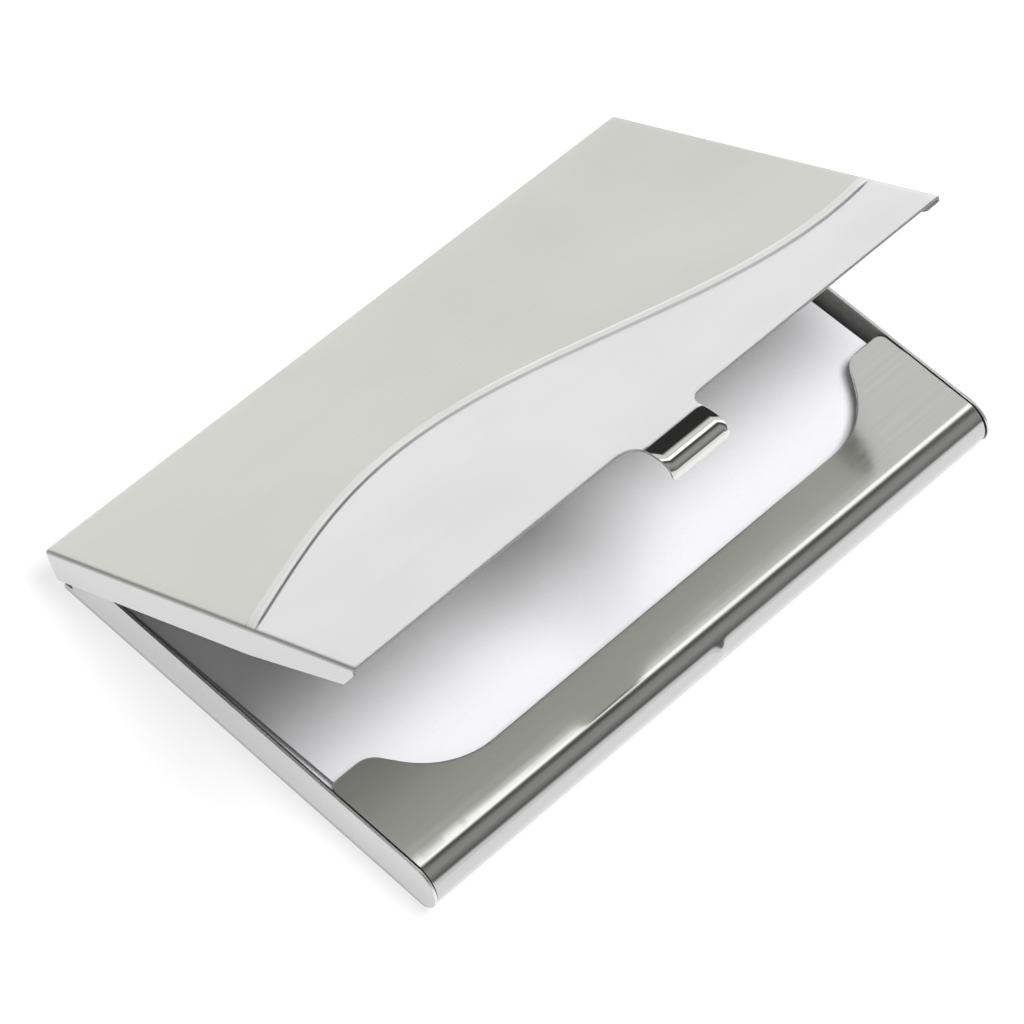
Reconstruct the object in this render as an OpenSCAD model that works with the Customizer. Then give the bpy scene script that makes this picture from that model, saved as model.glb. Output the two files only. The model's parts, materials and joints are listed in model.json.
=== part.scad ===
// Business card case: a one-piece rolled base tray, a hinged one-piece lid
// with a curled thumb tab, two hinge studs and a stack of loose cards.
// Millimetres. X runs along the case, the rolled nose faces -Y, Z is up.

/* [Case] */
// Outer length of the base tray
case_w = 94; // [80:0.5:110]
// Outer height of the base tray
case_h = 6.7; // [5:0.1:12]
// Sheet metal thickness
sheet = 0.5; // [0.3:0.05:1]
// Front of the nose to the rear end of the tray floor
tray_depth = 59.6; // [50:0.1:70]
// How far the rolled nose sits behind the front of the end walls
nose_inset = 0.2; // [0:0.05:0.5]
// Slot between the rolled lip and each end wall
lip_slot = 0.14; // [0.05:0.01:0.4]
// How far back the end walls' lower front corners are rounded
wall_toe = 5; // [3.5:0.1:8]
// Outer radius of the bends along the tray floor
bend_r = 1.2; // [0.55:0.05:1.2]

/* [Lip] */
// Front of the case to the middle of the lip edge
lip_mid = 9.3; // [7:0.1:14]
// Front of the case to the tips of the two horns
lip_horn = 17.5; // [12:0.1:24]
// Radius of the horns' outer corners
horn_corner_r = 1.1; // [0.5:0.1:2]
// Radius of the horns' inner shoulders
horn_shoulder_r = 3.1; // [1:0.1:5]
// Radius where each horn runs down into the middle of the lip
horn_foot_r = 12; // [4:0.5:18]
// Slope of the horns' inner flanks
horn_slope = 55; // [40:1:75]
// Distance of the shoulders' centres from the end of the tray
horn_shoulder_x = 4.9; // [3:0.1:8]

/* [Snap] */
// How far the snap bump stands out of the nose
snap_h = 0.2; // [0.1:0.01:0.25]
// Radius of the snap bump
snap_r = 2.2; // [1.5:0.1:2.6]
// Angle of the snap bump above the nose's front line
snap_rise = 20; // [10:1:30]

/* [Lid] */
// Gap between the lid flanges and the end walls
side_gap = 0.1; // [0.05:0.01:0.3]
// Gap between the closed lid and the top of the tray
top_gap = 0.1; // [0.05:0.01:0.3]
// Depth of the lid panel from its rear face to its front edge
lid_depth = 56.2; // [45:0.1:65]
// Height of the lid's rear and side flanges
flange_h = 4.2; // [3.8:0.1:4.6]
// Height of the side flanges at the front end
flange_front_h = 3; // [2:0.1:4]
// Distance from the rear face at which the flanges start to taper
flange_taper = 36; // [20:1:50]
// Distance over which the flanges' front ends slant down
flange_slant = 3.1; // [1:0.1:6]
// Outer radius of the lid's bends
lid_bend_r = 0.6; // [0.55:0.05:1.2]
// Radius of the panel's front corners
lid_corner_r = 0.4; // [0.3:0.1:3]

/* [Tab] */
// Width of the thumb tab
tab_w = 9.2; // [6:0.1:20]
// Radius of the notches at the tab's roots
tab_root_r = 2.3; // [0.5:0.1:2.6]
// Inner radius of the tab's curl
tab_curl_r = 2.1; // [1.9:0.05:2.3]
// Front of the case to the start of the tab's curl
tab_curl_y = 2.15; // [2:0.05:2.3]
// Straight length of the tab below its curl
tab_leg = 0.7; // [0.3:0.05:1.1]
// Radius of the tab's lower corners
tab_corner_r = 0.5; // [0.2:0.05:1]

/* [Wave bead] */
// Width of the raised wave
bead_w = 1.6; // [0.6:0.1:3]
// Height of the raised wave
bead_h = 0.16; // [0.08:0.01:0.3]
// Half the difference between the wave's crest and trough
wave_amp = 8.3; // [0:0.1:15]
// Distance from the rear face to the wave's middle line
wave_mid = 36.6; // [20:0.1:50]
// Position of the trough along the lid
wave_shift = -16; // [-40:1:40]
// Distance along the lid from trough to crest
wave_half = 56; // [30:1:90]

/* [Hinge] */
// Pivot to the lid's rear face
pivot_back = 1.8; // [1.7:0.05:2.5]
// Pivot to the top of the closed lid
pivot_down = 3.5; // [3:0.1:4]
// Radius of the hinge studs
stud_r = 0.6; // [0.4:0.05:0.8]
// Radial clearance of the studs in the tray's ears
stud_clear = 0.05; // [0.01:0.01:0.1]
// Radius of the studs' heads
stud_head_r = 1.05; // [0.8:0.05:1.2]
// Thickness of the studs' heads
stud_head_t = 0.4; // [0.3:0.05:0.8]
// Radius of the ears around the studs
ear_r = 1.2; // [1:0.05:1.6]
// Opening angle at which the lid is stored
lid_open = 31.2; // [0:0.1:90]

/* [Cards] */
// Length of one card
card_w = 90; // [80:0.5:91]
// Depth of one card
card_d = 55; // [45:0.5:56]
// Thickness of one card
card_t = 0.34; // [0.2:0.01:0.6]
// Height taken by one card in the stack
card_pitch = 0.35; // [0.2:0.01:0.7]
// Largest sideways offset of a card in the stack
card_jog = 0.22; // [0:0.01:0.4]
// How far the uppermost card sits ahead of the others
top_card_ahead = 0.95; // [0:0.05:1]
// Turn of the uppermost card
top_card_turn = 1.3; // [0:0.1:1.4]

/* [Hidden] */

$fn = 96;
eps = 0.01;
steel = [0.78, 0.78, 0.77];
steel_dark = [0.62, 0.62, 0.62];
card_white = [0.95, 0.95, 0.96];

half_w = case_w / 2;
wall_in = half_w - sheet;
nose_r = case_h / 2;
roll_y = nose_r + nose_inset;
lid_half = half_w + side_gap + sheet;
lid_top = case_h + top_gap + sheet;
pivot_z = lid_top - pivot_down;
pivot_y = tray_depth - 0.3;
lid_rear = pivot_y + pivot_back;
lid_front = lid_rear - lid_depth;
spine_drop = flange_h - pivot_down;

// The slot lets the lid's spine pass under the ear as the lid opens.
swing = 90;
slot_r = sqrt(pow(pivot_back, 2) + pow(spine_drop, 2)) + 0.12;
slot_end = atan2(spine_drop, pivot_back - sheet) + swing + 7;
crown_r = pivot_down - sheet - 0.1;
ear_back = pivot_back - sheet - 0.1;

// The rear bend's outermost point, with the lid stored open, sets the depth.
bend_back = pivot_back - lid_bend_r;
bend_up = pivot_down - lid_bend_r;
rear_reach = pivot_y + bend_back * cos(lid_open) + bend_up * sin(lid_open) + lid_bend_r;
mid_y = rear_reach / 2;

card_floor = sheet + 0.05;
card_mid_y = roll_y + card_d / 2 - 0.4;

// ---- helpers -------------------------------------------------------------

// Extrudes a shape drawn as (y, z) along X from x0 to x1.
module along_x(x0, x1) {
    translate([x0, 0, 0]) rotate([90, 0, 90]) linear_extrude(x1 - x0) children();
}

// Extrudes a shape drawn as (x, z) along Y from y0 to y1.
module along_y(y0, y1) {
    translate([0, y1, 0]) rotate([90, 0, 0]) linear_extrude(y1 - y0) children();
}

// Turns the closed lid about the hinge to the stored angle.
module opened() {
    translate([0, pivot_y, pivot_z]) rotate([-lid_open, 0, 0])
        translate([0, -pivot_y, -pivot_z]) children();
}

// Moves the case so that the middle of its footprint is the origin.
module placed() {
    translate([0, -mid_y, 0]) children();
}

function arc(cx, cy, r, a0, a1, n) =
    [for (i = [0 : n]) [cx + r * cos(a0 + (a1 - a0) * i / n), cy + r * sin(a0 + (a1 - a0) * i / n)]];

// ---- base ----------------------------------------------------------------

// Outside of the tray's cross-section, with the bends along its floor.
module tray_outline() {
    translate([-half_w, bend_r]) square([case_w, case_h - bend_r]);
    translate([-half_w + bend_r, 0]) square([case_w - 2 * bend_r, case_h]);
    for (s = [-1, 1]) translate([s * (half_w - bend_r), bend_r]) circle(bend_r);
}

// Cross-section of the tray: floor and two end walls with rounded bends.
module tray_section() {
    difference() {
        tray_outline();
        translate([-wall_in, bend_r]) square([2 * wall_in, case_h]);
        translate([-half_w + bend_r, sheet]) square([case_w - 2 * bend_r, case_h]);
        for (s = [-1, 1]) translate([s * (half_w - bend_r), bend_r]) circle(bend_r - sheet);
    }
}

// Side view of an end wall: round nose, rear ear and the slot under it.
module wall_side() {
    chin = [for (a = [180 : 5 : 270]) [wall_toe * (1 + cos(a)), nose_r * (1 + sin(a))]];
    difference() {
        union() {
            intersection() {
                translate([nose_r, nose_r]) circle(nose_r);
                translate([0, nose_r]) square(nose_r);
            }
            polygon(concat(chin, [[wall_toe, nose_r + eps], [0.05, nose_r + eps]]));
            translate([nose_r - eps, nose_r]) square([pivot_y - nose_r, nose_r]);
            translate([wall_toe - eps, 0]) square([pivot_y - wall_toe + eps, case_h]);
            translate([pivot_y - eps, 0]) square([tray_depth - pivot_y + eps, pivot_z]);
            intersection() {
                translate([pivot_y, pivot_z]) circle(crown_r);
                translate([pivot_y - eps, pivot_z]) square([ear_back + eps, crown_r]);
            }
            translate([pivot_y, pivot_z]) circle(ear_r);
        }
        swing_slot();
        translate([pivot_y, pivot_z]) circle(stud_r + stud_clear);
    }
}

// Ring-shaped gap around the lower half of the ear.
module swing_slot() {
    translate([pivot_y, pivot_z]) difference() {
        polygon(concat([[0, 0], [4, 0]], arc(0, 0, slot_r, 0, -slot_end, 40)));
        circle(ear_r);
    }
}

// Half of the lip seen from above, from the middle line to the slot.
function lip_half_points() = let (
        shoulder = [half_w - horn_shoulder_x, lip_horn - horn_shoulder_r],
        a = 180 - (90 - horn_slope),
        flank = [shoulder[0] + horn_shoulder_r * cos(a), shoulder[1] + horn_shoulder_r * sin(a)],
        foot_y = lip_mid + horn_foot_r * (1 - cos(horn_slope)),
        foot_x = flank[0] - (flank[1] - foot_y) / tan(horn_slope),
        foot_mid = [foot_x - horn_foot_r * sin(horn_slope), lip_mid + horn_foot_r],
        end_x = wall_in - lip_slot,
        r = horn_corner_r
    ) concat(
        [[-eps, 0], [-eps, lip_mid]],
        arc(foot_mid[0], foot_mid[1], horn_foot_r, -90, -90 + horn_slope, 24),
        arc(shoulder[0], shoulder[1], horn_shoulder_r, a, 90, 16),
        arc(end_x - r, lip_horn - r, r, 90, 0, 10),
        [[end_x, 0]]
    );

module lip_outline() {
    for (m = [0, 1]) mirror([m, 0]) polygon(lip_half_points());
}

// The front of the sheet, rolled back over itself into the nose and the lip.
module rolled_front() {
    intersection() {
        along_x(-wall_in + lip_slot, wall_in - lip_slot) {
            difference() {
                translate([roll_y, nose_r]) circle(nose_r);
                translate([roll_y, nose_r]) circle(nose_r - sheet);
                translate([roll_y, -eps]) square([nose_r + 1, case_h + 2 * eps]);
            }
            translate([roll_y - eps, 0]) square([4, sheet]);
            translate([roll_y - eps, case_h - sheet]) square([lip_horn, sheet]);
        }
        linear_extrude(case_h) lip_outline();
        along_y(-1, lip_horn + 1) tray_outline();
    }
}

// Round bump in the middle of the nose that the tab snaps over.
module snap_bump() {
    reach = nose_r + snap_h - snap_r;
    intersection() {
        difference() {
            translate([0, roll_y - reach * cos(snap_rise), nose_r + reach * sin(snap_rise)]) sphere(snap_r);
            translate([0, roll_y, nose_r]) rotate([0, 90, 0])
                cylinder(r = nose_r - sheet, h = case_w, center = true);
        }
        translate([-snap_r, 0, 0]) cube([2 * snap_r, roll_y, case_h]);
    }
}

module base_shell() {
    color(steel) placed() {
        intersection() {
            along_y(0, tray_depth + 2) tray_section();
            along_x(-half_w, half_w) wall_side();
        }
        rolled_front();
        snap_bump();
    }
}

// ---- lid, drawn closed ---------------------------------------------------

// Outside of the lid seen from the end; in = 1 gives the inside.
module lid_section(in) {
    w = lid_half - in * sheet;
    top = lid_top - in * sheet;
    r = lid_bend_r - in * sheet;
    translate([-w, 0]) square([2 * w, top - r]);
    translate([-w + r, 0]) square([2 * (w - r), top]);
    for (s = [-1, 1]) translate([s * (w - r), top - r]) circle(r);
}

// Outside of the lid seen from the side; in = 1 gives the inside.
module lid_side(in) {
    rear = lid_rear - in * sheet;
    top = lid_top - in * sheet;
    r = lid_bend_r - in * sheet;
    front = lid_front - in;
    bottom = lid_top - flange_h - in;
    translate([front, bottom]) square([rear - front, top - r - bottom]);
    translate([front, bottom]) square([rear - r - front, top - bottom]);
    translate([rear - r, top - r]) circle(r);
}

// Side view of the flanges: full height, a taper, then a slanted front end.
module flange_outline() {
    r = 0.6;
    low = lid_top - flange_h;
    front_low = lid_top - flange_front_h;
    edge_z = lid_top - sheet - 0.2;
    taper_y = lid_rear - flange_taper;
    toe_y = lid_front + flange_slant;
    in_a = atan2(front_low - edge_z, flange_slant);
    out_a = atan2(low - front_low, taper_y - toe_y);
    back = r * tan((out_a - in_a) / 2);
    toe = [toe_y - back * cos(in_a) - r * sin(in_a), front_low - back * sin(in_a) + r * cos(in_a)];
    polygon(concat(
        [[lid_front, edge_z]],
        arc(toe[0], toe[1], r, in_a - 90, out_a - 90, 8),
        [[taper_y, low], [lid_rear, low], [lid_rear, lid_top], [lid_front, lid_top]]
    ));
}

// Panel's front corners seen from above.
module panel_outline() {
    r = lid_corner_r;
    translate([-lid_half, lid_front + r]) square([2 * lid_half, lid_depth - r]);
    translate([-lid_half + r, lid_front]) square([2 * (lid_half - r), lid_depth]);
    for (s = [-1, 1]) translate([s * (lid_half - r), lid_front + r]) circle(r);
}

module lid_body() {
    intersection() {
        difference() {
            intersection() {
                along_y(lid_front, lid_rear) lid_section(0);
                along_x(-lid_half, lid_half) lid_side(0);
            }
            intersection() {
                along_y(lid_front - 1, lid_rear) lid_section(1);
                along_x(-lid_half, lid_half) lid_side(1);
            }
        }
        along_x(-lid_half, lid_half) flange_outline();
        linear_extrude(2 * lid_top) panel_outline();
    }
}

// Tab: a flat root with notched corners, a curl over the nose and a short leg.
module tab() {
    curl_z = lid_top - sheet - tab_curl_r;
    half = tab_w / 2;
    flat = lid_front - tab_curl_y;
    r = min(tab_root_r, flat);
    translate([-half, tab_curl_y, lid_top - sheet]) cube([tab_w, flat + eps, sheet]);
    translate([0, 0, lid_top - sheet]) linear_extrude(sheet) for (m = [0, 1]) mirror([m, 0])
        difference() {
            translate([half - eps, lid_front - r]) square([r + eps, r + eps]);
            translate([half + r, lid_front - r]) circle(r);
        }
    along_x(-half, half) translate([tab_curl_y, curl_z]) intersection() {
        difference() {
            circle(tab_curl_r + sheet);
            circle(tab_curl_r);
        }
        translate([-9, 0]) square([9, 9]);
    }
    along_y(tab_curl_y - tab_curl_r - sheet, tab_curl_y - tab_curl_r)
        tab_leg_outline(half, curl_z - tab_leg, curl_z + eps);
}

// Front view of the tab's leg, with rounded lower corners.
module tab_leg_outline(half, low, high) {
    r = min(tab_corner_r, tab_leg);
    translate([-half, low + r]) square([2 * half, high - low - r]);
    translate([-half + r, low]) square([2 * (half - r), high - low]);
    for (s = [-1, 1]) translate([s * (half - r), low + r]) circle(r);
}

function wave(x) = wave_mid - wave_amp * cos(180 * (x - wave_shift) / wave_half);
function wave_slope(x) = wave_amp * PI / wave_half * sin(180 * (x - wave_shift) / wave_half);

// Raised wave across the panel, the same width all along.
module wave_bead() {
    n = 72;
    reach = lid_half - lid_bend_r;
    xs = [for (i = [0 : n]) -reach + 2 * reach * i / n];
    side = function (s) [for (x = xs) let (k = wave_slope(x), d = s * bead_w / 2 / sqrt(1 + k * k))
        [x + k * d, lid_rear - wave(x) + d]];
    low = side(-1);
    high = side(1);
    translate([0, 0, lid_top - sheet / 2]) linear_extrude(sheet / 2 + bead_h) intersection() {
        polygon(concat(low, [for (i = [n : -1 : 0]) high[i]]));
        translate([-reach, lid_front]) square([2 * reach, lid_depth]);
    }
}

module lid_shell() {
    color(steel) placed() opened() {
        lid_body();
        tab();
        wave_bead();
    }
}

// ---- hinge studs, fixed in the lid's flanges -----------------------------

// Shank through the ear and a head inside the tray; s is the end, -1 or 1.
module hinge_stud(s) {
    shank_out = lid_half - sheet;
    head_in = wall_in - 0.1 - stud_head_t;
    color(steel_dark) placed() translate([0, pivot_y, pivot_z]) rotate([0, s * 90, 0]) {
        translate([0, 0, head_in]) cylinder(r = stud_r, h = shank_out - head_in);
        translate([0, 0, head_in]) cylinder(r = stud_head_r, h = stud_head_t);
    }
}

module hinge_stud_left() { hinge_stud(-1); }
module hinge_stud_right() { hinge_stud(1); }

// ---- cards ---------------------------------------------------------------

// Card number i, counted up from the tray floor, nudged sideways a little.
module card(i) {
    last = i == 12;
    jog = card_jog * sin(137 * i);
    ahead = last ? top_card_ahead : 0;
    color(card_white) placed()
        translate([last ? 0 : jog, card_mid_y - ahead, card_floor + (i - 1) * card_pitch])
            rotate([0, 0, last ? top_card_turn : 0])
                translate([-card_w / 2, -card_d / 2, 0]) cube([card_w, card_d, card_t]);
}

module card_01() { card(1); }
module card_02() { card(2); }
module card_03() { card(3); }
module card_04() { card(4); }
module card_05() { card(5); }
module card_06() { card(6); }
module card_07() { card(7); }
module card_08() { card(8); }
module card_09() { card(9); }
module card_10() { card(10); }
module card_11() { card(11); }
module card_12() { card(12); }

// ---- drawing -------------------------------------------------------------

base_shell();
lid_shell();
hinge_stud_left();
hinge_stud_right();
card_01();
card_02();
card_03();
card_04();
card_05();
card_06();
card_07();
card_08();
card_09();
card_10();
card_11();
card_12();
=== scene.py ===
import json
import math

import bmesh
import bpy
from mathutils import Matrix, Vector

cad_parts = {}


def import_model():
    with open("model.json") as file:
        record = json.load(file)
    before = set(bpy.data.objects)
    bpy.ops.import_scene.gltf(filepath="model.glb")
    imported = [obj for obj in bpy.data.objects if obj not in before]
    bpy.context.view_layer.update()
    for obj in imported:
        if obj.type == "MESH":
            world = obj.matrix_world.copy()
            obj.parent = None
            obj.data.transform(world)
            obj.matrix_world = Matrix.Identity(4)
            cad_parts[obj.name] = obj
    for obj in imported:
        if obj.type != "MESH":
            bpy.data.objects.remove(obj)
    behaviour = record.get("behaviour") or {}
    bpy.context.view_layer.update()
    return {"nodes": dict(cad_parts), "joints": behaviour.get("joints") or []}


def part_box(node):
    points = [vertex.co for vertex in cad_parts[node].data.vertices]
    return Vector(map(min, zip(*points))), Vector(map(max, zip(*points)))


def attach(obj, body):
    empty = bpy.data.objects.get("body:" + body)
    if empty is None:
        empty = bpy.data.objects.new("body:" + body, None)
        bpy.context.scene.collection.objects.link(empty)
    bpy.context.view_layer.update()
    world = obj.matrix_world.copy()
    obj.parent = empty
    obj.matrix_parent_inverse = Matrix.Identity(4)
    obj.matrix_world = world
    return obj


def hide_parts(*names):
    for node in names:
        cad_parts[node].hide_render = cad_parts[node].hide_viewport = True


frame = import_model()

MM = 0.001

# ---------------------------------------------------------------- the frame, in millimetres

BASE_LOW, BASE_HIGH = (tuple(c / MM for c in corner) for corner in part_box("base_shell"))
LID_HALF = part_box("lid_shell")[1][0] / MM
HINGE = next(j for j in frame["joints"] if j["name"] == "lid_hinge")
PIVOT_Y, PIVOT_Z = HINGE["pos_m"][1] / MM, HINGE["pos_m"][2] / MM
LID_OPEN = -HINGE["range_deg"][0]

FRONT = BASE_LOW[1]
HALF_W = BASE_HIGH[0]
CASE_H = 6.7
SHEET = 0.5  # the CAD's sheet
LID_SHEET, TRAY_SHEET = 0.3, 0.35  # as thin as the visible edges are
EDGE_ROUND, CARD_ROUND, STUD_ROUND = 0.05, 0.03, 0.06
NOSE_R = CASE_H / 2
ROLL_Y = FRONT + NOSE_R + 0.2


def ramp(value, start, end):
    """0 at start and before it, 1 at end and past it, smooth between; end may be the lower one."""
    t = min(1.0, max(0.0, (value - start) / (end - start)))
    return t * t * (3 - 2 * t)


def spread(start, end, steps):
    return [start + (end - start) * i / steps for i in range(steps + 1)]


def quarter_turn():
    return [math.radians(a) for a in range(0, 91, 15)]


def bend_profile(r):
    """(out, down) along the outside of a quarter bend of radius r."""
    return [(r * math.sin(a), r * (1 - math.cos(a))) for a in quarter_turn()]


def add_marks(mesh, names):
    """Adds one number per vertex under each name, for the materials to read."""
    for name in names:
        mesh.attributes.new(name, "FLOAT", "POINT")
    return [mesh.attributes[name].data for name in names]


# ---------------------------------------------------------------- sheet metal meshes

class Skin:
    """The outer face of a piece of sheet metal, built from grids that share their border points."""

    def __init__(self):
        self.bm = bmesh.new()
        self.found = {}

    def vert(self, p):
        key = tuple(round(c, 4) for c in p)
        if key not in self.found:
            self.found[key] = self.bm.verts.new(Vector(p) * MM)
        return self.found[key]

    def grid(self, rows):
        """rows is a list of rows of points; neighbouring rows are joined by faces."""
        rows = [[self.vert(p) for p in row] for row in rows]
        for low, high in zip(rows, rows[1:]):
            for a, b, c, d in zip(low, low[1:], high[1:], high):
                ring = [v for i, v in enumerate((a, b, c, d)) if v not in (a, b, c, d)[:i]]
                if len(ring) > 2 and not self.bm.faces.get(ring):
                    self.bm.faces.new(ring)

    def finish(self, name, up_point):
        """Makes the object; faces are turned so that the one nearest up_point looks up."""
        bmesh.ops.recalc_face_normals(self.bm, faces=self.bm.faces)
        target = Vector(up_point) * MM
        probe = min(self.bm.faces, key=lambda f: (f.calc_center_median() - target).length)
        if probe.normal.z < 0:
            bmesh.ops.reverse_faces(self.bm, faces=self.bm.faces)
        mesh = bpy.data.meshes.new(name)
        self.bm.to_mesh(mesh)
        self.bm.free()
        obj = bpy.data.objects.new(name, mesh)
        bpy.context.collection.objects.link(obj)
        return obj


def thicken(obj, thickness, materials):
    """Gives the sheet its thickness, inwards; materials are for outside, inside and cut edges."""
    solid = obj.modifiers.new("thickness", "SOLIDIFY")
    solid.thickness = thickness * MM
    solid.offset = -1
    solid.use_even_offset = True
    solid.material_offset = 1
    solid.material_offset_rim = 2
    for mat in materials:
        obj.data.materials.append(mat)
    for poly in obj.data.polygons:
        poly.use_smooth = True
    round_edges(obj, EDGE_ROUND, 3, 60)
    weighted = obj.modifiers.new("shading", "WEIGHTED_NORMAL")
    weighted.keep_sharp = True


def round_edges(obj, width, segments, angle):
    """Rounds the edges that turn by more than angle degrees."""
    bevel = obj.modifiers.new("edges", "BEVEL")
    bevel.width = width * MM
    bevel.segments = segments
    bevel.limit_method = "ANGLE"
    bevel.angle_limit = math.radians(angle)


# ---------------------------------------------------------------- lid

LID_REAR = PIVOT_Y + 1.8
LID_TOP = PIVOT_Z + 3.494
LID_FRONT = LID_REAR - 56.2
LID_BEND = 0.6
LID_CORNER = 0.4
FLANGE_H = 4.2
FLANGE_FRONT_H = 3.0
FLANGE_TAPER_Y = LID_REAR - 36
TOE_Y = LID_FRONT + 3.1
TAB_HALF = 4.6
TAB_ROOT = 2.3
TAB_DROP = 2.6
TAB_LEG = 0.7
TAB_SOFT = 0.5
BEAD_W = 1.6
BEAD_SIDE = 0.18
BEAD_H = 0.13
BEAD_BORDER = 0.15
BEAD_FADE = 1.5  # the bead dies out over this length at its ends
CREASE_HALF = 0.13  # half width of the lines of painted shade beside the bead
CORNER_EASE = 6  # the grid lines run straight again this far behind the rounded corners
WAVE_AMP, WAVE_MID, WAVE_SHIFT, WAVE_HALF = 8.3, 36.6, -16, 56


def bead_y(x):
    return LID_REAR - WAVE_MID + WAVE_AMP * math.cos(math.pi * (x - WAVE_SHIFT) / WAVE_HALF)


def bead_stretch(x):
    slope = WAVE_AMP * math.pi / WAVE_HALF * math.sin(math.pi * (x - WAVE_SHIFT) / WAVE_HALF)
    return math.sqrt(1 + slope * slope)


def panel_front(x):
    """Front edge of the flat panel, with the tab's root fillets and the rounded corners."""
    x = abs(x)
    if x < TAB_HALF + TAB_ROOT:
        t = max(0.0, TAB_HALF + TAB_ROOT - x)
        return LID_FRONT - TAB_ROOT + math.sqrt(max(0.0, TAB_ROOT ** 2 - min(t, TAB_ROOT) ** 2))
    over = x - (LID_HALF - LID_CORNER)
    if over > 0:
        return LID_FRONT + LID_CORNER - math.sqrt(max(0.0, LID_CORNER ** 2 - over ** 2))
    return LID_FRONT


def panel_columns():
    """X places of the panel's grid lines, close together at the tab's roots and the corners."""
    fillet = [TAB_HALF + TAB_ROOT * (1 - math.cos(math.radians(a))) for a in range(15, 91, 15)]
    edge = LID_HALF - LID_BEND
    half = spread(0, TAB_HALF, 6)[1:] + fillet + spread(fillet[-1], edge, 36)[1:]
    return [-x for x in reversed(half)] + [0] + half


def panel_column(x):
    """One grid line of the panel from front to rear, over the bead."""
    front, middle, k = panel_front(x), bead_y(x), bead_stretch(x)
    rear = LID_REAR - LID_BEND
    foot = BEAD_W / 2 + BEAD_SIDE
    border = (foot + BEAD_BORDER) * k
    end = LID_HALF - LID_BEND
    fade = ramp(abs(x), end, end - BEAD_FADE)
    shares = (0, 0.015, 0.03, 0.05, 0.08, 0.12, 0.17, 0.24, 0.32, 0.42, 0.53, 0.65, 0.78, 0.9, 1)
    points = [(x, front + (middle - border - front) * s, LID_TOP) for s in shares]
    steps = spread(-foot, -foot + 2 * BEAD_SIDE, 6) + [-0.35, 0, 0.35]
    steps += spread(foot - 2 * BEAD_SIDE, foot, 6)
    for d in steps:
        lift = BEAD_H * fade * ramp(abs(d), foot, foot - 2 * BEAD_SIDE)
        points.append((x, middle + d * k, LID_TOP + lift))
    return points + [(x, y, LID_TOP) for y in spread(middle + border, rear, 18)]


def flange_low(y):
    """Lower edge of the side flanges."""
    edge_z, toe_z, low = LID_TOP - SHEET - 0.2, LID_TOP - FLANGE_FRONT_H, LID_TOP - FLANGE_H
    if y < TOE_Y:
        return edge_z + (toe_z - edge_z) * (y - LID_FRONT) / (TOE_Y - LID_FRONT)
    return toe_z + (low - toe_z) * min(1, (y - TOE_Y) / (FLANGE_TAPER_Y - TOE_Y))


def side_strip(side, column):
    """Bend and flange along one end of the lid, hung from the panel's outermost grid line."""
    start = column[0][1]
    rows = []
    for out, down in bend_profile(LID_BEND):
        x, z = LID_HALF - LID_BEND + out, LID_TOP - down
        shift = panel_front(x) - start
        rows.append([(side * x, y + shift * max(0, 1 - (y - start) / CORNER_EASE), z)
                     for _, y, _ in column])
    last = rows[-1]
    top = LID_TOP - LID_BEND
    for share in (0.25, 0.5, 0.75, 1):
        rows.append([(x, y, top + (flange_low(y) - top) * share) for x, y, _ in last])
    return rows


def rear_profile():
    """(out, z) over the bend and down the rear flange."""
    bend = [(out, LID_TOP - down) for out, down in bend_profile(LID_BEND)]
    return bend + [(LID_BEND, z) for z in spread(LID_TOP - LID_BEND, LID_TOP - FLANGE_H, 4)[1:]]


def rear_strip(xs):
    """Bend and rear flange."""
    return [[(x, LID_REAR - LID_BEND + out, z) for x in xs] for out, z in rear_profile()]


def rear_corner(side):
    """Rounded corner between the rear flange and one side flange."""
    cx, cy = LID_HALF - LID_BEND, LID_REAR - LID_BEND
    return [[(side * (cx + out * math.cos(b)), cy + out * math.sin(b), z) for b in quarter_turn()]
            for out, z in rear_profile()]


def tab_path():
    """Side view of the tab's outer face: a slow slope, a curl that tightens, then a short leg."""
    turns = []
    for i in range(28):
        s = (i + 0.5) / 28
        turns.append(math.radians(10 + 32 * s if s < 0.5 else 26 + 64 * (2 * s - 1) ** 1.2))
    step = TAB_DROP / sum(math.sin(t) for t in turns)
    y, z = LID_FRONT - TAB_ROOT, LID_TOP
    path = [(y, z)]
    for t in turns:
        y, z = y - step * math.cos(t), z - step * math.sin(t)
        path.append((y, z))
    path.append((y, z - (TAB_LEG - TAB_SOFT)))
    return path


def tab_rows(xs):
    """The tab from its root to its round-cornered end."""
    path = tab_path()
    rows = [[(x, y, z) for x in xs] for y, z in path]
    y, z = path[-1]
    for a in (22.5, 45, 67.5, 90):
        half = TAB_HALF - TAB_SOFT * (1 - math.cos(math.radians(a)))
        drop = TAB_SOFT * math.sin(math.radians(a))
        rows.append([(x * half / TAB_HALF, y, z - drop) for x in xs])
    return rows


def opened(mesh):
    """Turns a mesh drawn closed to the stored opening."""
    pivot = Vector((0, PIVOT_Y, PIVOT_Z)) * MM
    turn = Matrix.Rotation(math.radians(-LID_OPEN), 4, "X")
    mesh.transform(Matrix.Translation(pivot) @ turn @ Matrix.Translation(-pivot))


def bead_painted_light(x, off):
    """(painted shade, painted highlight) of the bead at a distance off its middle: shade painted along
    the creases, highlights painted on the crown and rear flank.
    """
    crease = BEAD_W / 2
    rear_shade = 0.6 * ramp(abs(off - crease), CREASE_HALF, 0) * ramp(x, 2, -10)
    front_shade = ramp(abs(off + crease), CREASE_HALF, 0) * (0.1 + 0.5 * ramp(x, 5, -25))
    crown = 0.45 * ramp(abs(off), crease - 0.05, crease - 0.25)
    rear_flank = ramp(abs(off - crease * 0.75), 0.5, 0) * ramp(x, -12, 2) * ramp(x, 42, 30)
    return max(rear_shade, front_shade), max(crown, rear_flank)


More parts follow.
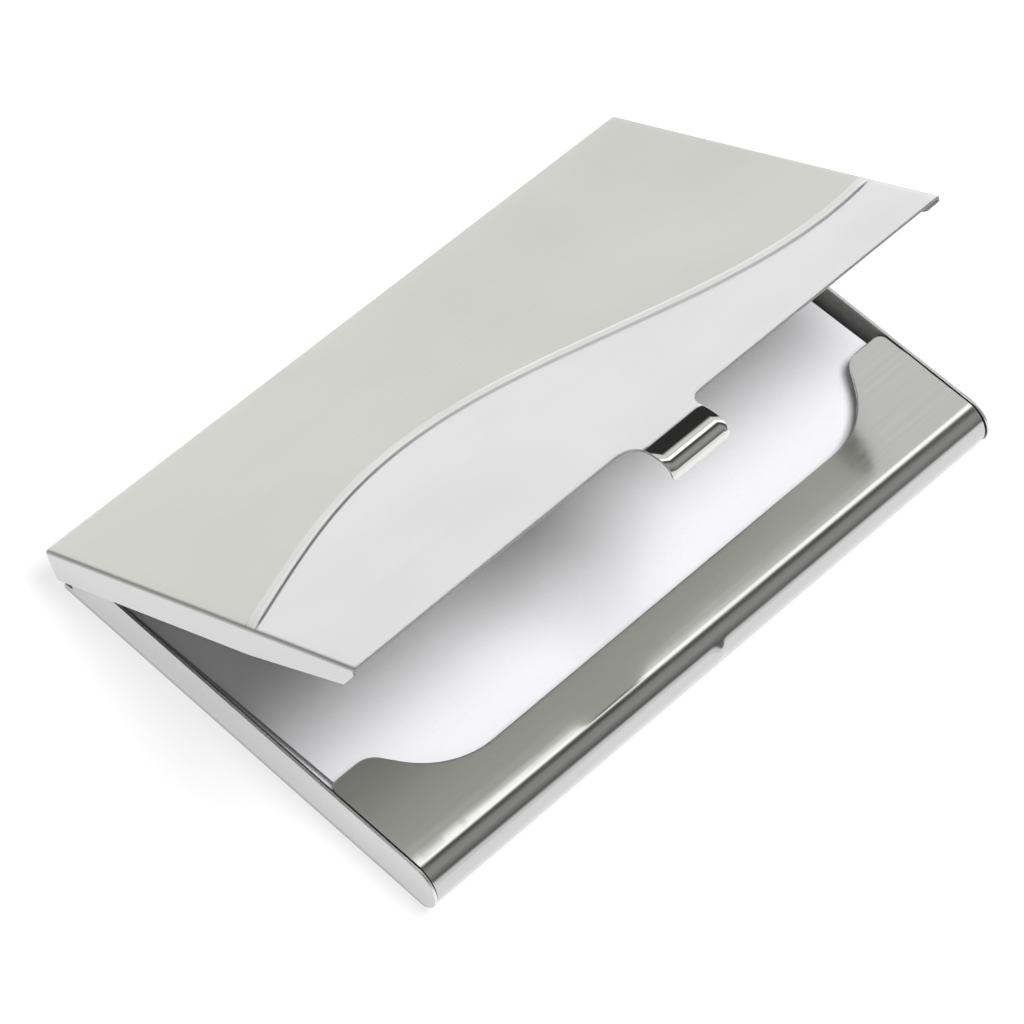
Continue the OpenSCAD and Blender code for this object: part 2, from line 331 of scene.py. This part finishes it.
def lid_finish(mesh):
    """Marks, before the lid is turned open, where each finish of the sheet lies and where shade and
    highlights are painted on.
    """
    zone, side, mirror, bright, painted_shade_and_darkening = add_marks(
        mesh, ("front_zone", "side", "mirror", "bead_painted_highlight", "painted_shade_and_darkening"))
    tab_start = LID_FRONT - TAB_ROOT + 0.15
    for i, v in enumerate(mesh.vertices):
        x, y, z = (c / MM for c in v.co)
        drop = LID_TOP - z
        mirror[i].value = ramp(y, tab_start, tab_start - 0.5)
        if drop < 0.05:  # the panel
            zone[i].value = 1.0 if y < bead_y(x) - 0.1 else 0.0
            off = (y - bead_y(x)) / bead_stretch(x)
            # painted shade along the bead's creases, painted highlight on its crown and rear flank
            crease, bright[i].value = bead_painted_light(x, off)
            # slightly darker towards the panel's rear right
            darker_rear_right = 0.1 * ramp(x, -10, 40) * ramp(y, LID_REAR - 34, LID_REAR - 14)
            painted_shade_and_darkening[i].value = max(crease, darker_rear_right)
        elif y > tab_start:  # bends and flanges, with a line of painted shade along the bend
            # painted shade: the bends and flanges take a darker grey than the top
            side[i].value = ramp(drop, 0.05, 0.25)
            painted_shade_and_darkening[i].value = 0.85 * ramp(drop, 0.03, 0.08) * ramp(drop, 0.44, 0.22)


def lid():
    skin = Skin()
    xs = panel_columns()
    columns = [panel_column(x) for x in xs]
    skin.grid(columns)
    skin.grid(side_strip(-1, columns[0]))
    skin.grid(side_strip(1, columns[-1]))
    skin.grid(rear_strip(xs))
    for side in (-1, 1):
        skin.grid(rear_corner(side))
    skin.grid(tab_rows([x for x in xs if abs(x) <= TAB_HALF + 1e-6]))
    obj = skin.finish("lid_sheet", (0, LID_REAR - 20, LID_TOP))
    lid_finish(obj.data)
    opened(obj.data)
    # the lid's cut edges are painted dark as shade
    thicken(obj, LID_SHEET, (lid_material(), inside_material("lid_inside_steel"),
                             edge_material("lid_cut_edge", 0.32)))
    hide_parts("lid_shell")
    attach(obj, "lid")


# ---------------------------------------------------------------- base

BEND = 1.2
ROLL_HALF = HALF_W - TRAY_SHEET - 0.22
ROLL_EVEN = 40  # beyond this the roll's ends are tucked in under the end walls' bends
TUCK_END = 75  # degrees up the roll where it has its full width
CHIN = 5.0
LIP_MID = FRONT + 9.3
LIP_HORN = FRONT + 17.5
HORN_CORNER = 1.1
SHOULDER_R = 3.1
FOOT_R = 12.0
HORN_SLOPE = math.radians(55)
SHOULDER_X = HALF_W - 4.9
BUMP_H, BUMP_WIDE, BUMP_ZONE = 0.2, 0.85, 2.4  # the grid is finer in the zone
BUMP_RISE, BUMP_SPAN = 20, 14  # degrees up the roll
EDGE_STRIP = 0.25
TRAY_REAR = FRONT + 59.6
EAR_R, CROWN_R, EAR_BACK = 1.2, 2.9, 1.2
SLOT_R, SLOT_END = 2.05, math.radians(125)
WALL_STEPS = (-2.05, -1.93, -1.68, -1.37, -1.06, -0.94, -0.6, -0.3, 0, 0.8, 1.6, 2.3, 2.9)
EAR_START = PIVOT_Y - 2
FLOOR_YS = spread(ROLL_Y, FRONT + CHIN, 4) + spread(FRONT + CHIN, EAR_START, 20)[1:]
REAR_ROWS = 12  # from EAR_START to the end of floor and walls


def lip_outline():
    """(x, y) along half of the lip's free edge, from the middle to the slot."""
    shoulder = (SHOULDER_X, LIP_HORN - SHOULDER_R)
    turn = math.pi / 2 + HORN_SLOPE
    flank = (shoulder[0] + SHOULDER_R * math.cos(turn), shoulder[1] + SHOULDER_R * math.sin(turn))
    foot_y = LIP_MID + FOOT_R * (1 - math.cos(HORN_SLOPE))
    foot_x = flank[0] - (flank[1] - foot_y) / math.tan(HORN_SLOPE)
    middle = (foot_x - FOOT_R * math.sin(HORN_SLOPE), LIP_MID + FOOT_R)
    points = [(x, LIP_MID) for x in spread(0, BUMP_ZONE, 12) + spread(BUMP_ZONE, middle[0], 16)[1:]]
    for i in range(1, 19):
        a = HORN_SLOPE * i / 18
        points.append((middle[0] + FOOT_R * math.sin(a), middle[1] - FOOT_R * math.cos(a)))
    for s in (0.3, 0.65):
        points.append((foot_x + (flank[0] - foot_x) * s, foot_y + (flank[1] - foot_y) * s))
    for i in range(13):
        a = turn + (math.pi / 2 - turn) * i / 12
        points.append((shoulder[0] + SHOULDER_R * math.cos(a), shoulder[1] + SHOULDER_R * math.sin(a)))
    for i in range(9):
        a = math.pi / 2 * (1 - i / 8)
        points.append((ROLL_HALF + HORN_CORNER * (math.cos(a) - 1),
                       LIP_HORN + HORN_CORNER * (math.sin(a) - 1)))
    return points


def inset(points, distance):
    """The free edge moved into the sheet, so that the faces along it have an even width."""
    moved = [(points[0][0], points[0][1] - distance)]
    for before, (x, y), after in zip(points, points[1:], points[2:]):
        along_x, along_y = after[0] - before[0], after[1] - before[1]
        length = math.hypot(along_x, along_y)
        moved.append((x + distance * along_y / length, y - distance * along_x / length))
    return moved + [(points[-1][0], points[-1][1] - distance)]


def rolled_front(columns):
    """Rows from the floor's front round the nose and back along the lip to its free edge."""
    rows = []
    narrow = (HALF_W - BEND - ROLL_EVEN) / (ROLL_HALF - ROLL_EVEN)
    for degrees in range(0, 181, 3):
        a = math.radians(degrees)
        row = []
        tuck = narrow + (1 - narrow) * ramp(degrees, 0, TUCK_END)
        rise = degrees - 90 - BUMP_RISE
        for x, _ in columns:
            if abs(x) > ROLL_EVEN:
                x = math.copysign(ROLL_EVEN + (abs(x) - ROLL_EVEN) * tuck, x)
            away = (x / BUMP_WIDE) ** 2 + (rise / BUMP_SPAN) ** 2
            r = NOSE_R + BUMP_H * math.exp(-away)
            row.append((x, ROLL_Y - r * math.sin(a), NOSE_R - r * math.cos(a)))
        rows.append(row)
    inner = inset(columns, EDGE_STRIP)
    for share in (0.1, 0.25, 0.45, 0.7, 0.9, 1):
        rows.append([(x + (ix - x) * share, ROLL_Y + (iy - ROLL_Y) * share, CASE_H)
                     for (x, _), (ix, iy) in zip(columns, inner)])
    rows.append([(x, y, CASE_H) for x, y in columns])
    return rows


def wall_top(y):
    """Upper edge of the end walls: round nose, straight, and the ear's crown."""
    if y < FRONT + NOSE_R:
        return NOSE_R + math.sqrt(max(0, NOSE_R ** 2 - (FRONT + NOSE_R - y) ** 2))
    if y > PIVOT_Y:
        return PIVOT_Z + math.sqrt(CROWN_R ** 2 - (y - PIVOT_Y) ** 2)
    return CASE_H


def wall_rear(z):
    """How far back the end wall reaches at height z: ear, swing slot for the lid, floor's end."""
    under = PIVOT_Z - z
    if under < 0:
        return PIVOT_Y + EAR_BACK
    if under < EAR_R * math.sin(SLOT_END):
        return PIVOT_Y + math.sqrt(EAR_R ** 2 - under ** 2)
    if under < SLOT_R * math.sin(SLOT_END):
        return PIVOT_Y + under / math.tan(SLOT_END)
    if under < SLOT_R - 0.01:
        return PIVOT_Y - math.sqrt(SLOT_R ** 2 - under ** 2)
    return TRAY_REAR


def wall_path(low, top):
    """(x, z) down to up along bend and wall between two heights, outside."""
    bend_len, full = BEND * math.pi / 2, BEND * math.pi / 2 + CASE_H - BEND

    def place(s):
        if s < bend_len:
            return HALF_W - BEND + BEND * math.sin(s / BEND), BEND * (1 - math.cos(s / BEND))
        return HALF_W, BEND + s - bend_len

    def length(z):
        return BEND * math.acos(1 - z / BEND) if z < BEND else bend_len + z - BEND

    stops = [bend_len * i / 6 for i in range(7)] + [length(PIVOT_Z + d) for d in WALL_STEPS]
    first, last = length(low), length(top)
    return [place(first + (last - first) * s / full) for s in stops]


def end_wall(side):
    """Rows from front to rear of one end wall with its bend; its lower front corner is rounded off."""
    nose = [FRONT + NOSE_R * (1 - math.cos(math.radians(a))) for a in range(6, 91, 6)]
    rows = []
    for y in nose + FLOOR_YS:
        low = NOSE_R * (1 - math.sqrt(max(0, 1 - max(0, 1 - (y - FRONT) / CHIN) ** 2)))
        rows.append([(side * x, y, z) for x, z in wall_path(low, wall_top(y))])
    for i in range(1, REAR_ROWS + 1):
        share = i / REAR_ROWS
        row = []
        for x, z in wall_path(0, CASE_H):
            y = EAR_START + (wall_rear(z) - EAR_START) * share
            row.append((side * x, y, min(z, wall_top(y))))
        rows.append(row)
    return rows


def base_finish(mesh):
    """Marks the lip, warmer in tone and painted lighter than the nose and walls, whose darker steel is
    painted shade; and the foot of the bends, painted dark as shade.
    """
    lip_top, foot = add_marks(mesh, ("lip_top", "foot"))
    for i, v in enumerate(mesh.vertices):
        x, y, z = (c / MM for c in v.co)
        if abs(x) > ROLL_HALF + 0.02:  # end walls
            # painted shade: the walls' bends darken towards the floor, for the shaded floor they mirror
            foot[i].value = 0.7 * ramp(z, 1.4, 0.9) * ramp(z, -0.02, 0.18)
        else:
            # the lip's top: a warmer tone, painted lighter than the rest of the tray
            lip_top[i].value = ramp(z, CASE_H - 1.2, CASE_H - 0.4)
            if y < ROLL_Y - 0.01:  # the roll's front
                # painted shade: a dark band low on the nose, for the shaded floor it mirrors
                foot[i].value = 0.5 * ramp(z, 3.0, 2.3) * ramp(z, 0.6, 1.6)


def base():
    skin = Skin()
    half = lip_outline()
    columns = [(-x, y) for x, y in reversed(half[1:])] + half
    rows = rolled_front(columns)
    skin.grid(rows)
    floor_ys = FLOOR_YS + spread(EAR_START, TRAY_REAR, REAR_ROWS)[1:]
    skin.grid([[(x, y, 0) for x, _, _ in rows[0]] for y in floor_ys])
    for side in (-1, 1):
        skin.grid(end_wall(side))
    obj = skin.finish("tray_sheet", (0, ROLL_Y + 3, CASE_H))
    base_finish(obj.data)
    # the tray's cut edges are painted light as a highlight
    thicken(obj, TRAY_SHEET, (base_material(), inside_material("tray_inside_steel"),
                              edge_material("tray_cut_edge", 0.82)))
    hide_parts("base_shell")
    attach(obj, "tray")


# ---------------------------------------------------------------- materials

class Nodes:
    """A principled material with short ways to add and join nodes."""

    def __init__(self, name):
        self.mat = bpy.data.materials.new(name)
        self.mat.use_nodes = True
        self.tree = self.mat.node_tree
        self.bsdf = self.tree.nodes["Principled BSDF"]

    def add(self, kind, **inputs):
        node = self.tree.nodes.new("ShaderNode" + kind)
        for key, value in inputs.items():
            self.set(node.inputs[key.replace("_", " ")], value)
        return node

    def set(self, socket, value):
        if isinstance(value, bpy.types.NodeSocket):
            self.tree.links.new(value, socket)
        else:
            socket.default_value = value

    def noise(self, stretch, detail=4.0, rough=0.6):
        """Noise over the object's own coordinates; stretch is cells per metre along x, y, z."""
        place = self.add("Mapping", Scale=stretch, Vector=self.add("TexCoord").outputs["Object"])
        noise = self.add("TexNoise", Vector=place.outputs["Vector"], Scale=1.0, Detail=detail,
                         Roughness=rough)
        return noise.outputs["Fac"]

    def span(self, value, low, high, to_low, to_high):
        node = self.add("MapRange", Value=value, From_Min=low, From_Max=high, To_Min=to_low,
                        To_Max=to_high)
        return node.outputs["Result"]

    def math(self, operation, a, b):
        node = self.tree.nodes.new("ShaderNodeMath")
        node.operation = operation
        self.set(node.inputs[0], a)
        self.set(node.inputs[1], b)
        return node.outputs[0]

    def mix(self, factor, a, b):
        node = self.tree.nodes.new("ShaderNodeMix")
        node.data_type = "RGBA"
        self.set(node.inputs["Factor"], factor)
        self.set(node.inputs["A"], a)
        self.set(node.inputs["B"], b)
        return node.outputs["Result"]

    def attribute(self, name):
        node = self.tree.nodes.new("ShaderNodeAttribute")
        node.attribute_name = name
        return node.outputs["Fac"]

    def bump(self, height, strength, distance):
        return self.add("Bump", Height=height, Strength=strength, Distance=distance).outputs["Normal"]


def color(value):
    """A neutral grey."""
    return (value, value, value, 1)


def base_material():
    """Bright rolled steel: a soft mirror with drawing lines along the case and faint smudges."""
    m = Nodes("tray_polished_steel")
    lines = m.noise((25, 1500, 1500))
    smudge = m.noise((90, 90, 90), 3.0)
    # foot is painted shade: there the steel turns to a dark, less metallic grey
    foot = m.attribute("foot")
    m.set(m.bsdf.inputs["Metallic"], m.math("SUBTRACT", 1.0, foot))
    # the lip's top is warmer and painted lighter; the darker steel of the walls and nose is painted
    # shade
    warm = m.mix(lines, (0.645, 0.645, 0.620, 1), (0.715, 0.715, 0.690, 1))
    steel = m.mix(m.attribute("lip_top"), m.mix(lines, color(0.565), color(0.635)), warm)
    # painted shade: dark grey where foot is marked
    m.set(m.bsdf.inputs["Base Color"], m.mix(foot, steel, color(0.12)))
    rough = m.math("ADD", m.span(smudge, 0.3, 0.7, 0.09, 0.14), m.span(lines, 0.3, 0.7, -0.02, 0.03))
    m.set(m.bsdf.inputs["Roughness"], rough)
    m.set(m.bsdf.inputs["Normal"], m.bump(lines, 0.05, 0.00002))
    return m.mat


def lid_material():
    """Satin lid: a lighter zone in front of the wave, a greyer one behind it, and a mirror tab."""
    m = Nodes("lid_satin_steel")
    lines = m.noise((20, 2200, 2200))
    cloud = m.noise((45, 45, 45), 3.0)
    zone, mirror = m.attribute("front_zone"), m.attribute("mirror")
    m.bsdf.inputs["Metallic"].default_value = 1.0
    rear = m.mix(lines, (0.745, 0.750, 0.705, 1), (0.805, 0.810, 0.765, 1))
    front = m.mix(lines, color(0.93), color(0.98))
    satin = m.mix(zone, rear, front)
    # painted shade: the same steel in a darker grey on the bends and flanges
    satin = m.mix(m.attribute("side"), satin, m.mix(lines, color(0.645), color(0.705)))
    # painted highlight: near-white on the bead's crown and rear flank
    satin = m.mix(m.attribute("bead_painted_highlight"), satin, color(0.99))
    # painted shade: dark lines along the bead's creases and the lid's bends, plus a slight darkening
    # towards the panel's rear right
    satin = m.mix(m.math("MULTIPLY", m.attribute("painted_shade_and_darkening"), 0.75), satin, (0.16, 0.16, 0.15, 1))
    m.set(m.bsdf.inputs["Base Color"], m.mix(mirror, satin, (0.80, 0.80, 0.78, 1)))
    rough = m.math("ADD", m.span(cloud, 0.3, 0.7, 0.36, 0.39), m.span(lines, 0.3, 0.7, -0.02, 0.02))
    sheen = m.span(mirror, 0, 1, 1.0, 0.08)
    m.set(m.bsdf.inputs["Roughness"], m.math("MULTIPLY", rough, sheen))
    m.set(m.bsdf.inputs["Normal"], m.bump(lines, 0.04, 0.00002))
    return m.mat


def inside_material(name):
    """The sheet's inner face: rougher steel, painted darker than the outside as shade."""
    m = Nodes(name)
    lines = m.noise((40, 1200, 1200))
    m.bsdf.inputs["Metallic"].default_value = 1.0
    # painted shade: the same steel in a darker colour
    m.set(m.bsdf.inputs["Base Color"], m.mix(lines, (0.40, 0.40, 0.38, 1), (0.48, 0.48, 0.46, 1)))
    m.set(m.bsdf.inputs["Roughness"], m.span(lines, 0.3, 0.7, 0.26, 0.34))
    m.set(m.bsdf.inputs["Normal"], m.bump(lines, 0.05, 0.00002))
    return m.mat


def edge_material(name, shade):
    """Sheared edges, rougher than the faces; shade is how bright the metal is there, set lighter than
    the faces on the tray as a painted highlight and darker on the lid as painted shade.
    """
    m = Nodes(name)
    shear = m.noise((2500, 2500, 900))
    m.bsdf.inputs["Metallic"].default_value = 1.0
    m.set(m.bsdf.inputs["Base Color"], m.mix(shear, color(shade * 0.85), color(shade * 1.15)))
    m.set(m.bsdf.inputs["Roughness"], m.span(shear, 0.3, 0.7, 0.24, 0.42))
    return m.mat


def stud_material():
    """Turned pins, duller than the sheet."""
    m = Nodes("stud_steel")
    turned = m.noise((1200, 1200, 1200))
    m.bsdf.inputs["Metallic"].default_value = 1.0
    m.set(m.bsdf.inputs["Base Color"], m.mix(turned, (0.42, 0.42, 0.42, 1), (0.56, 0.56, 0.55, 1)))
    m.set(m.bsdf.inputs["Roughness"], m.span(turned, 0.3, 0.7, 0.22, 0.36))
    return m.mat


def card_material():
    """Smooth white board: fibre mottling, a faint tooth and slightly greyer cut edges."""
    m = Nodes("white_board")
    fibre = m.noise((900, 2600, 4000), 5.0, 0.7)
    tooth = m.noise((5000, 5000, 5000), 2.0)
    m.set(m.bsdf.inputs["Base Color"], m.mix(fibre, (0.84, 0.84, 0.865, 1), (0.92, 0.92, 0.94, 1)))
    m.set(m.bsdf.inputs["Roughness"], m.span(fibre, 0.3, 0.7, 0.50, 0.62))
    m.bsdf.inputs["Specular IOR Level"].default_value = 0.3
    m.set(m.bsdf.inputs["Normal"], m.bump(tooth, 0.08, 0.00003))
    return m.mat


def dress(obj, mat, edge_round):
    """Gives a CAD piece its material and slightly rounded edges."""
    for slot in obj.material_slots:
        slot.material = mat
    round_edges(obj, edge_round, 2, 40)


def carried_nodes():
    """CAD pieces that keep their own shape: cards and hinge studs."""
    board, stud = card_material(), stud_material()
    for name, obj in frame["nodes"].items():
        if name.startswith("card_"):
            dress(obj, board, CARD_ROUND)
        elif name.startswith("hinge_"):
            dress(obj, stud, STUD_ROUND)


# ---------------------------------------------------------------- studio

def floor():
    """White ground that also glows a little, so that it stays white around the case."""
    bpy.ops.mesh.primitive_plane_add(size=12)
    obj = bpy.context.object
    obj.name = "floor"
    m = Nodes("floor_white")
    m.bsdf.inputs["Base Color"].default_value = color(0.30)
    m.bsdf.inputs["Roughness"].default_value = 0.9
    m.bsdf.inputs["Specular IOR Level"].default_value = 0.0
    m.bsdf.inputs["Emission Color"].default_value = color(1)
    m.bsdf.inputs["Emission Strength"].default_value = 0.76
    obj.data.materials.append(m.mat)


SKY_TURN = math.radians(52.5)
# (share of the half turn from one horizon over the top to the other, brightness)
SKY = (
    (0.00, 0.95), (0.24, 0.90), (0.32, 0.40), (0.35, 0.10), (0.42, 0.20), (0.50, 0.34), (0.56, 0.30),
    (0.59, 0.10), (0.615, 0.05), (0.63, 0.35), (0.64, 1.50), (0.678, 1.50), (0.686, 0.64), (0.72, 0.78),
    (0.74, 0.70), (0.755, 0.03), (0.90, 0.03), (0.93, 0.45), (0.955, 1.32), (1.00, 1.52),
)


def world():
    """What shiny surfaces mirror: soft boxes in a dark studio, as bands square to SKY_TURN."""
    w = bpy.data.worlds.new("studio")
    bpy.context.scene.world = w
    w.use_nodes = True
    nodes, links = w.node_tree.nodes, w.node_tree.links

    def math_node(operation, a, b):
        node = nodes.new("ShaderNodeMath")
        node.operation = operation
        for socket, value in zip(node.inputs, (a, b)):
            if isinstance(value, bpy.types.NodeSocket):
                links.new(value, socket)
            else:
                socket.default_value = value
        return node.outputs[0]

    split = nodes.new("ShaderNodeSeparateXYZ")
    links.new(nodes.new("ShaderNodeTexCoord").outputs["Generated"], split.inputs[0])
    along_x = math_node("MULTIPLY", split.outputs["X"], math.sin(SKY_TURN))
    along_y = math_node("MULTIPLY", split.outputs["Y"], math.cos(SKY_TURN))
    angle = math_node("ARCTAN2", math_node("ADD", along_x, along_y), split.outputs["Z"])
    share = math_node("ADD", math_node("DIVIDE", angle, math.pi), 0.5)
    ramp = nodes.new("ShaderNodeValToRGB")
    stops = ramp.color_ramp.elements
    for i, (place, value) in enumerate(SKY):
        stop = stops[0] if i == 0 else stops.new(place) if i < len(SKY) - 1 else stops[-1]
        stop.position = place
        stop.color = (value, value, value, 1)
    links.new(share, ramp.inputs["Fac"])
    links.new(ramp.outputs["Color"], nodes["Background"].inputs["Color"])
    w.cycles_visibility.diffuse = False


def area(name, place, size, power):
    """A square soft box aimed at the case, which mirrors and glossy surfaces don't see."""
    light = bpy.data.lights.new(name, "AREA")
    light.shape = "RECTANGLE"
    light.size = light.size_y = size
    light.energy = power
    obj = bpy.data.objects.new(name, light)
    bpy.context.collection.objects.link(obj)
    obj.location = place
    obj.rotation_euler = (-Vector(place)).to_track_quat("-Z", "Y").to_euler()
    obj.visible_glossy = False


def camera():
    """The photograph's view, fitted to points of the case seen in it."""
    cam = bpy.data.cameras.new("camera")
    cam.lens = 175.72
    cam.sensor_width = 36
    cam.shift_x, cam.shift_y = -0.0047, -0.0031
    obj = bpy.data.objects.new("camera", cam)
    bpy.context.collection.objects.link(obj)
    yaw, pitch, roll = (math.radians(a) for a in (52.483, 54.845, 7.909))
    ahead = Vector((math.sin(yaw) * math.cos(pitch), math.cos(yaw) * math.cos(pitch), -math.sin(pitch)))
    level = Vector((math.cos(yaw), -math.sin(yaw), 0))
    up = level.cross(ahead)
    right = level * math.cos(roll) + up * math.sin(roll)
    top = up * math.cos(roll) - level * math.sin(roll)
    turn = Matrix((right, top, -ahead)).transposed().to_4x4()
    turn.translation = (-0.26808, -0.20463, 0.47939)
    obj.matrix_world = turn
    cam.clip_start, cam.clip_end = 0.01, 50
    bpy.context.scene.camera = obj


camera()
base()
lid()
carried_nodes()
floor()
world()
area("key_box", (0.15, -0.29, 0.94), 0.5, 9.8)
area("fill_box", (-0.6, -0.5, 0.9), 1.2, 2.4)
bpy.context.scene.view_settings.view_transform = "Standard"
